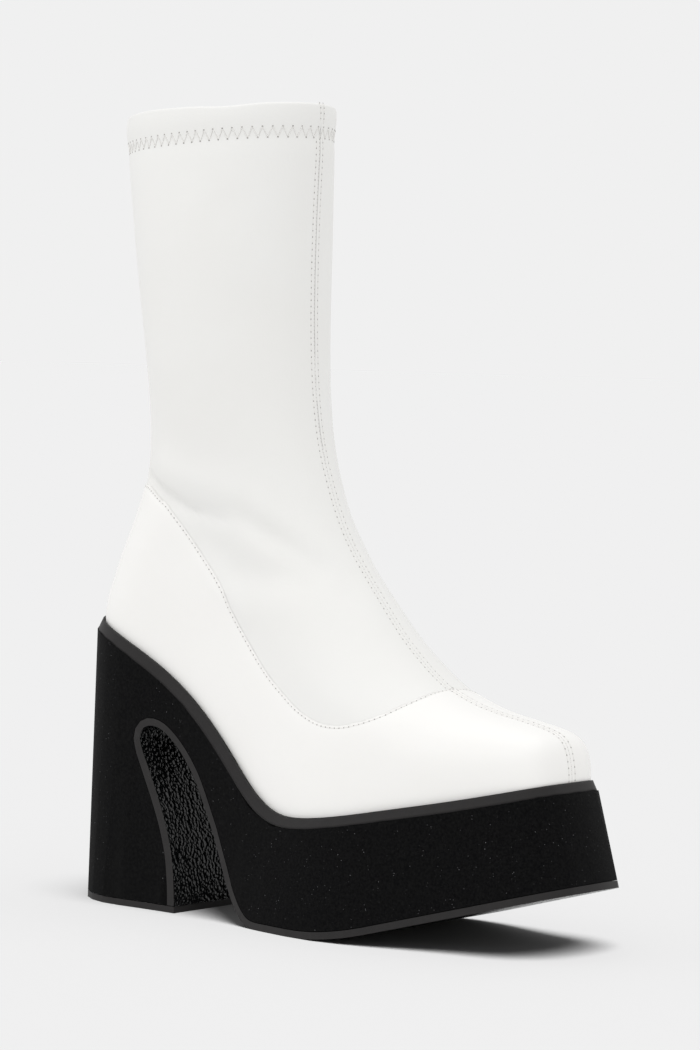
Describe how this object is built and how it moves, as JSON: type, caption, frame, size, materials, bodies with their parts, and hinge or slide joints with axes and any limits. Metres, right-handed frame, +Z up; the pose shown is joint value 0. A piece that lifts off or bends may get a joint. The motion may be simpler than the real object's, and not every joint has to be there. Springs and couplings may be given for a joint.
{
  "type": "chunky heel ankle boot",
  "caption": "Pull-on sock-style ankle boot for the right foot: hollow stretch upper with a squared toe on a chunky high heel and platform in one block with an arch cut through it.",
  "frame": {"origin": "on the floor, at the middle of the flat underside of the heel", "axes": "+X from heel to toe, +Y to the wearer's left (the inner side of this right shoe), +Z up"},
  "size_m": [0.2668, 0.0995, 0.349],
  "materials": {
    "stretch_leather": "white bonded stretch faux leather, soft satin",
    "panel_leather": "white faux leather, smooth and slightly firmer, soft satin",
    "insole_sock": "pale padded sock lining, matt",
    "edge_rubber": "dark grey moulded rubber, bevelled, semi-matt",
    "flocked_foam": "black short-napped flock over foam with a faint sparkle, matt",
    "sole_rubber": "black moulded rubber with a pebbled face, semi-gloss"
  },
  "bodies": {
    "root": {"upper": "stretch_leather", "foot_panel": "panel_leather", "insole": "insole_sock", "rand": "edge_rubber", "platform_block": "flocked_foam", "outsole": "sole_rubber", "heel_top_lift": "sole_rubber"}
  },
  "joints": []
}
